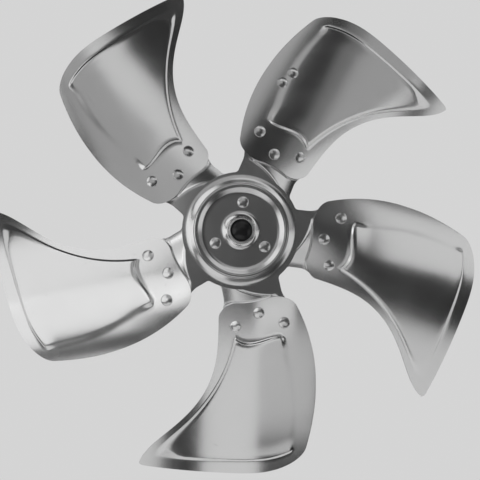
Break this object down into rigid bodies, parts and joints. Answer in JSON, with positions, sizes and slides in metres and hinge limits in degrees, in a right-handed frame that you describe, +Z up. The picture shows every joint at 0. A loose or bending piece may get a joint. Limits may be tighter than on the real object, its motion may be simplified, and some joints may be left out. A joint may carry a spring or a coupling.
{
  "type": "industrial fan wheel",
  "caption": "Axial fan wheel of riveted, embossed sheet-steel blades on a pressed spider, with its hub sleeve, drive shaft and flanged bearing.",
  "frame": {"origin": "on the spin axis, in the plane of the hub plate's front face", "axes": "+Y runs along the shaft to the rear, +Z is up, +X is to the right as seen from the front of the wheel"},
  "size_m": [0.4372, 0.1288, 0.4364],
  "materials": {
    "wheel_steel": "polished sheet steel",
    "rivet_steel": "bright zinc-plated steel",
    "turned_steel": "turned steel",
    "black_steel": "black oxide, satin",
    "screw_steel": "black oxide, dull",
    "bearing_steel": "ground and polished",
    "cage_brass": "machined",
    "seal_rubber": "matt",
    "housing_iron": "painted grey casting"
  },
  "bodies": {
    "bearing_unit": {"bearing_housing": "housing_iron", "bearing_outer_ring": "bearing_steel", "bearing_seal_front": "seal_rubber", "bearing_seal_rear": "seal_rubber"},
    "rotor": {"hub_spider": "wheel_steel", "blade_1": "wheel_steel", "blade_2": "wheel_steel", "blade_3": "wheel_steel", "blade_4": "wheel_steel", "blade_5": "wheel_steel", "blade_1_rivet_leading": "rivet_steel", "blade_1_rivet_middle": "rivet_steel", "blade_1_rivet_trailing": "rivet_steel", "blade_2_rivet_leading": "rivet_steel", "blade_2_rivet_middle": "rivet_steel", "blade_2_rivet_trailing": "rivet_steel", "blade_3_rivet_leading": "rivet_steel", "blade_3_rivet_middle": "rivet_steel", "blade_3_rivet_trailing": "rivet_steel", "blade_4_rivet_leading": "rivet_steel", "blade_4_rivet_middle": "rivet_steel", "blade_4_rivet_trailing": "rivet_steel", "blade_5_rivet_leading": "rivet_steel", "blade_5_rivet_middle": "rivet_steel", "blade_5_rivet_trailing": "rivet_steel", "hub_rivet_1": "rivet_steel", "hub_rivet_2": "rivet_steel", "hub_rivet_3": "rivet_steel", "hub_sleeve": "turned_steel", "hub_key": "screw_steel", "hub_set_screw_1": "screw_steel", "hub_set_screw_2": "screw_steel", "drive_shaft": "black_steel", "bearing_inner_ring": "bearing_steel", "bearing_set_screw_1": "screw_steel", "bearing_set_screw_2": "screw_steel"},
    "ball_set": {"bearing_cage": "cage_brass", "bearing_ball_1": "bearing_steel", "bearing_ball_2": "bearing_steel", "bearing_ball_3": "bearing_steel", "bearing_ball_4": "bearing_steel", "bearing_ball_5": "bearing_steel", "bearing_ball_6": "bearing_steel", "bearing_ball_7": "bearing_steel", "bearing_ball_8": "bearing_steel"}
  },
  "joints": [
    {"name": "fan_spin", "type": "hinge", "parent": "bearing_unit", "child": "rotor", "pos_m": [0, 0.06582, 0], "axis": [0, -1, 0], "continuous": true},
    {"name": "ball_set_spin", "type": "hinge", "parent": "bearing_unit", "child": "ball_set", "pos_m": [0, 0.06582, 0], "axis": [0, -1, 0], "continuous": true}
  ],
  "couplings": [
    {"joint": "ball_set_spin", "follows": "fan_spin", "ratio": 0.3815}
  ]
}
